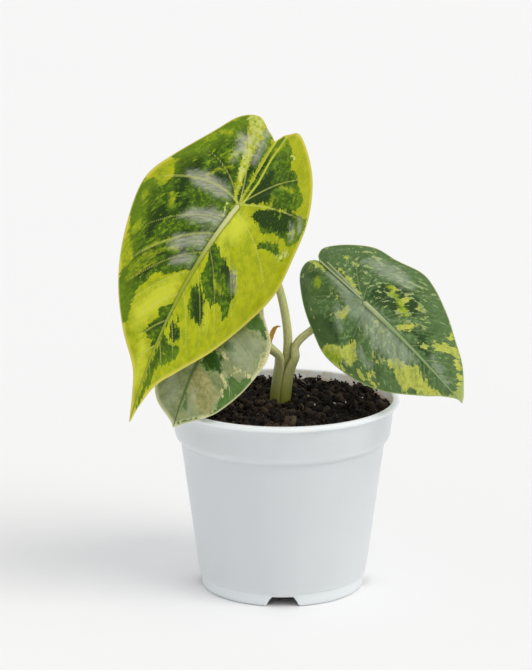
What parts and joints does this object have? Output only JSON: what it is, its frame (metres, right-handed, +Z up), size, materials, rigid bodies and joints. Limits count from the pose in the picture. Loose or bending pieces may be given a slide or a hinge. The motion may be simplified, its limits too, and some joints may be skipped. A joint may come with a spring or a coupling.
{
  "type": "potted alocasia",
  "caption": "Young potted arrow-leaf plant: variegated heart-shaped leaves on sheathed stalks in a plain tapered nursery pot of dark soil.",
  "frame": {"origin": "under the middle of the whole object's box, on the surface that the pot stands on", "axes": "+Z up, -Y towards the side that the leaves face, +X to the right seen from there"},
  "size_m": [0.1706, 0.128, 0.2453],
  "materials": {
    "pot_plastic": "white injection-moulded polypropylene, satin",
    "potting_mix": "moist dark peat, fibre and bark",
    "corm_skin": "brown papery corm skin",
    "root_skin": "pale fleshy root",
    "stalk": "smooth waxy olive-green stalk",
    "dry_sheath": "dried orange-brown sheath",
    "large_leaf": "satin leaf, lime with dark green patches",
    "right_leaf": "satin leaf, dark green with lime patches",
    "left_leaf": "satin leaf, pale sage with green patches",
    "bark": "wet bark",
    "perlite": "expanded mineral grain, matte white"
  },
  "bodies": {
    "root": {"pot": "pot_plastic", "soil": "potting_mix", "corm": "corm_skin", "petiole_large": "stalk", "petiole_right": "stalk", "petiole_left": "stalk", "dry_sheath_tip": "dry_sheath", "leaf_large": "large_leaf", "leaf_right": "right_leaf", "leaf_left": "left_leaf", "root_1": "root_skin", "root_2": "root_skin", "root_3": "root_skin", "root_4": "root_skin", "root_5": "root_skin", "bark_chip_1": "bark", "bark_chip_2": "bark", "bark_chip_3": "bark", "bark_chip_4": "bark", "bark_chip_5": "bark", "bark_chip_6": "bark", "bark_chip_7": "bark", "bark_chip_8": "bark", "perlite_1": "perlite", "perlite_2": "perlite", "perlite_3": "perlite", "perlite_4": "perlite", "perlite_5": "perlite", "perlite_6": "perlite"}
  },
  "joints": []
}
